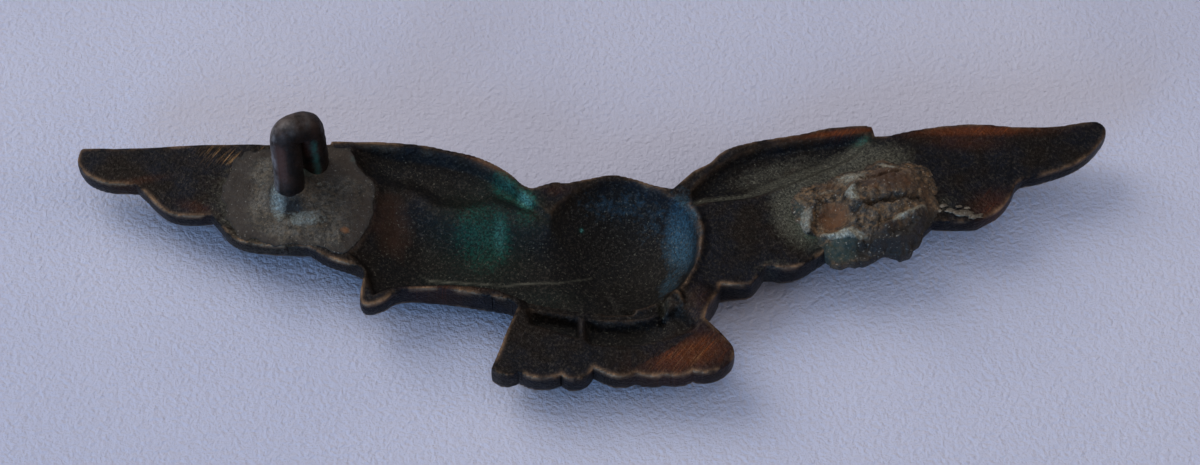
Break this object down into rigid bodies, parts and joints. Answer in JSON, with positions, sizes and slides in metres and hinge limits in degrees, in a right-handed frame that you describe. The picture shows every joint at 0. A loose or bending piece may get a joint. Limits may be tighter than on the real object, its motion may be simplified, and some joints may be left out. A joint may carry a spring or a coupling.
{
  "type": "struck wings badge with soldered loops",
  "caption": "Die-struck bronze bird badge with spread wings, hollow back, one soldered wire fixing loop and the torn solder of a second.",
  "frame": {"origin": "under the middle of the badge, at the lowest point of the breast that it lies on", "axes": "+X along the span towards the torn solder, +Y towards the top edges of the wings, +Z out of the back"},
  "size_m": [0.0766, 0.0215, 0.0111],
  "materials": {
    "bronze": "dark patinated bronze, worn brown at the edges",
    "wire": "browned round wire",
    "solder": "dull grey solder with a pale crust",
    "rusted_solder": "rough torn solder stained brown",
    "broken_wire": "rough broken wire end"
  },
  "bodies": {
    "root": {"struck_badge": "bronze", "fixing_loop": "wire", "loop_solder": "solder", "torn_solder": "rusted_solder", "sheared_leg": "broken_wire"}
  },
  "joints": []
}
